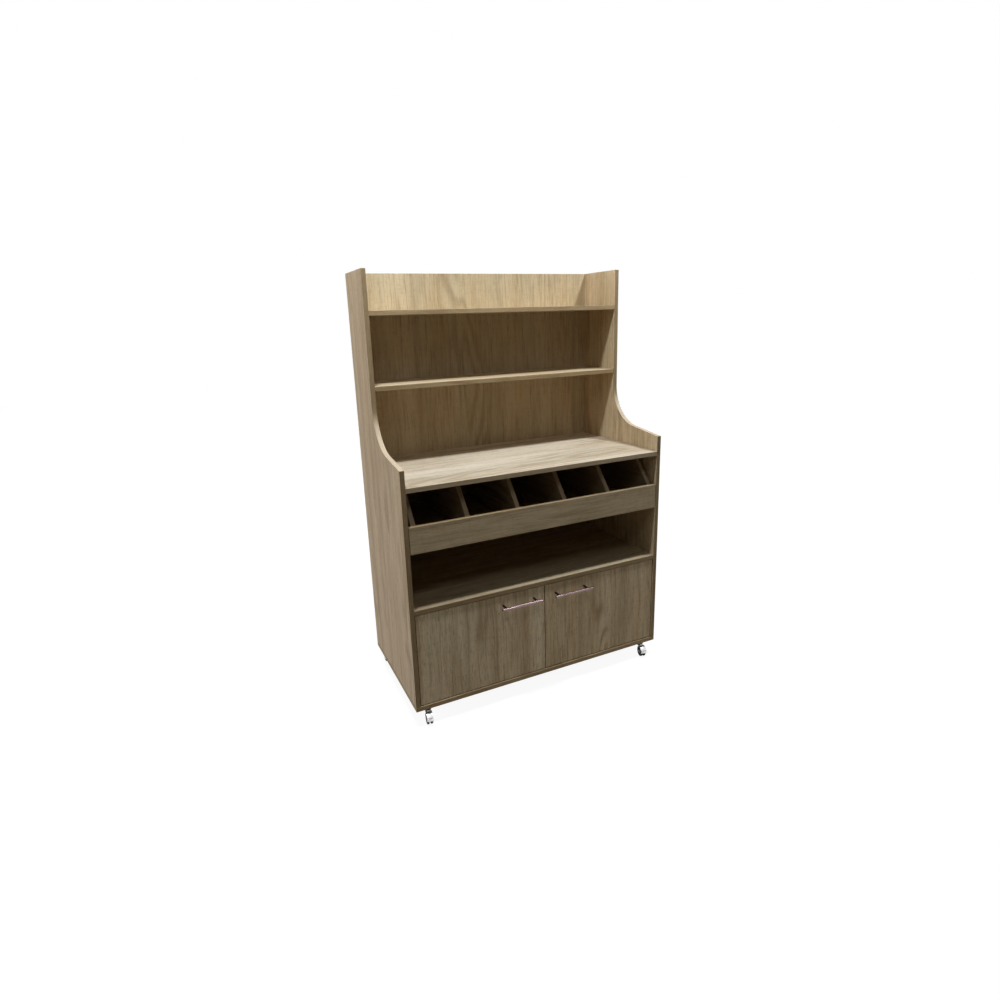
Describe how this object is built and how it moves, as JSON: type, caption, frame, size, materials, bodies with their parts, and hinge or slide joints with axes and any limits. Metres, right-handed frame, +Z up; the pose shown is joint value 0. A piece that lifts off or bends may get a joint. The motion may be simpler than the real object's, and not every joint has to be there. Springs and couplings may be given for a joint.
{
  "type": "service cabinet",
  "caption": "Service cabinet in oak-pattern board: shelves between curved sides, worktop, pull-out drawer of open bins, open bay and a two-door cupboard, on casters with brakes in front.",
  "frame": {"origin": "on the floor, under the centre of the bounding box's footprint", "axes": "+Z up, +X to the right as seen from the front, +Y from the front (doors and drawer) to the back panel"},
  "size_m": [1, 0.535, 1.5],
  "materials": {
    "oak_laminate_upright": "matte oak-pattern laminate, grain upright",
    "oak_laminate_level": "matte oak-pattern laminate, grain along the width",
    "oak_laminate_bins": "matte oak-pattern laminate, grain from front to back",
    "polished_chrome": "polished",
    "dark_metal": "satin black",
    "zinc_steel": "bright zinc plate",
    "silver_plastic": "silver-grey satin",
    "black_plastic": "satin black",
    "grey_plastic": "satin grey",
    "beech": "raw"
  },
  "bodies": {
    "cabinet": {"side_left": "oak_laminate_upright", "side_right": "oak_laminate_upright", "back_panel": "oak_laminate_upright", "base_panel": "oak_laminate_level", "cupboard_top": "oak_laminate_level", "worktop": "oak_laminate_level", "middle_shelf": "oak_laminate_level", "top_shelf": "oak_laminate_level", "runner_outer": "zinc_steel", "pivot_bushes": "grey_plastic", "catch_bodies": "grey_plastic", "back_screws": "zinc_steel", "carcass_dowels": "beech", "caster_screws": "zinc_steel", "caster_plate_front_left": "dark_metal", "caster_kingpin_front_left": "zinc_steel", "caster_plate_front_right": "dark_metal", "caster_kingpin_front_right": "zinc_steel", "caster_plate_rear_left": "dark_metal", "caster_kingpin_rear_left": "zinc_steel", "caster_plate_rear_right": "dark_metal", "caster_kingpin_rear_right": "zinc_steel"},
    "drawer": {"drawer_front": "oak_laminate_level", "drawer_floor": "oak_laminate_bins", "drawer_back": "oak_laminate_bins", "drawer_end_left": "oak_laminate_bins", "drawer_end_right": "oak_laminate_bins", "bin_divider_1": "oak_laminate_bins", "bin_divider_2": "oak_laminate_bins", "bin_divider_3": "oak_laminate_bins", "bin_divider_4": "oak_laminate_bins", "runner_inner": "zinc_steel"},
    "runner_carriage": {"runner_middle": "zinc_steel"},
    "door_left": {"door_left": "oak_laminate_upright", "handle_bar_left": "polished_chrome", "handle_posts_left": "dark_metal", "handle_screws_left": "zinc_steel", "pivot_pins_left": "zinc_steel", "strike_plate_left": "zinc_steel"},
    "door_right": {"door_right": "oak_laminate_upright", "handle_bar_right": "polished_chrome", "handle_posts_right": "dark_metal", "handle_screws_right": "zinc_steel", "pivot_pins_right": "zinc_steel", "strike_plate_right": "zinc_steel"},
    "swivel_front_left": {"caster_hood_front_left": "silver_plastic"},
    "wheelset_front_left": {"caster_wheels_front_left": "black_plastic", "caster_axle_front_left": "grey_plastic"},
    "pedal_front_left": {"brake_pedal_front_left": "black_plastic"},
    "swivel_front_right": {"caster_hood_front_right": "silver_plastic"},
    "wheelset_front_right": {"caster_wheels_front_right": "black_plastic", "caster_axle_front_right": "grey_plastic"},
    "pedal_front_right": {"brake_pedal_front_right": "black_plastic"},
    "swivel_rear_left": {"caster_hood_rear_left": "silver_plastic"},
    "wheelset_rear_left": {"caster_wheels_rear_left": "black_plastic", "caster_axle_rear_left": "grey_plastic"},
    "swivel_rear_right": {"caster_hood_rear_right": "silver_plastic"},
    "wheelset_rear_right": {"caster_wheels_rear_right": "black_plastic", "caster_axle_rear_right": "grey_plastic"}
  },
  "joints": [
    {"name": "drawer_slide", "type": "slide", "parent": "cabinet", "child": "drawer", "axis": [0, -1, 0], "range_m": [0, 0.45]},
    {"name": "runner_slide", "type": "slide", "parent": "cabinet", "child": "runner_carriage", "axis": [0, -1, 0], "range_m": [0, 0.225]},
    {"name": "door_left_hinge", "type": "hinge", "parent": "cabinet", "child": "door_left", "pos_m": [-0.457, -0.2225, 0.2435], "axis": [0, 0, -1], "range_deg": [0, 110]},
    {"name": "door_right_hinge", "type": "hinge", "parent": "cabinet", "child": "door_right", "pos_m": [0.457, -0.2225, 0.2435], "axis": [0, 0, 1], "range_deg": [0, 110]},
    {"name": "swivel_front_left", "type": "hinge", "parent": "cabinet", "child": "swivel_front_left", "pos_m": [-0.452, -0.2045, 0.045], "axis": [0, 0, 1], "continuous": true},
    {"name": "wheel_spin_front_left", "type": "hinge", "parent": "swivel_front_left", "child": "wheelset_front_left", "pos_m": [-0.45478, -0.22431, 0.02], "axis": [0.9903, -0.1392, 0], "continuous": true},
    {"name": "brake_pedal_front_left", "type": "hinge", "parent": "swivel_front_left", "child": "pedal_front_left", "pos_m": [-0.45823, -0.24883, 0.03051], "axis": [0.9903, -0.1392, 0], "range_deg": [0, 18]},
    {"name": "swivel_front_right", "type": "hinge", "parent": "cabinet", "child": "swivel_front_right", "pos_m": [0.452, -0.2045, 0.045], "axis": [0, 0, 1], "continuous": true},
    {"name": "wheel_spin_front_right", "type": "hinge", "parent": "swivel_front_right", "child": "wheelset_front_right", "pos_m": [0.44682, -0.22382, 0.02], "axis": [0.9659, -0.2588, 0], "continuous": true},
    {"name": "brake_pedal_front_right", "type": "hinge", "parent": "swivel_front_right", "child": "pedal_front_right", "pos_m": [0.44041, -0.24774, 0.03051], "axis": [0.9659, -0.2588, 0], "range_deg": [0, 18]},
    {"name": "swivel_rear_left", "type": "hinge", "parent": "cabinet", "child": "swivel_rear_left", "pos_m": [-0.452, 0.2395, 0.045], "axis": [0, 0, 1], "continuous": true},
    {"name": "wheel_spin_rear_left", "type": "hinge", "parent": "swivel_rear_left", "child": "wheelset_rear_left", "pos_m": [-0.46614, 0.22536, 0.02], "axis": [0.7071, -0.7071, 0], "continuous": true},
    {"name": "swivel_rear_right", "type": "hinge", "parent": "cabinet", "child": "swivel_rear_right", "pos_m": [0.452, 0.2395, 0.045], "axis": [0, 0, 1], "continuous": true},
    {"name": "wheel_spin_rear_right", "type": "hinge", "parent": "swivel_rear_right", "child": "wheelset_rear_right", "pos_m": [0.46045, 0.22137, 0.02], "axis": [0.9063, 0.4226, 0], "continuous": true}
  ],
  "couplings": [
    {"joint": "runner_slide", "follows": "drawer_slide", "ratio": 0.5}
  ]
}
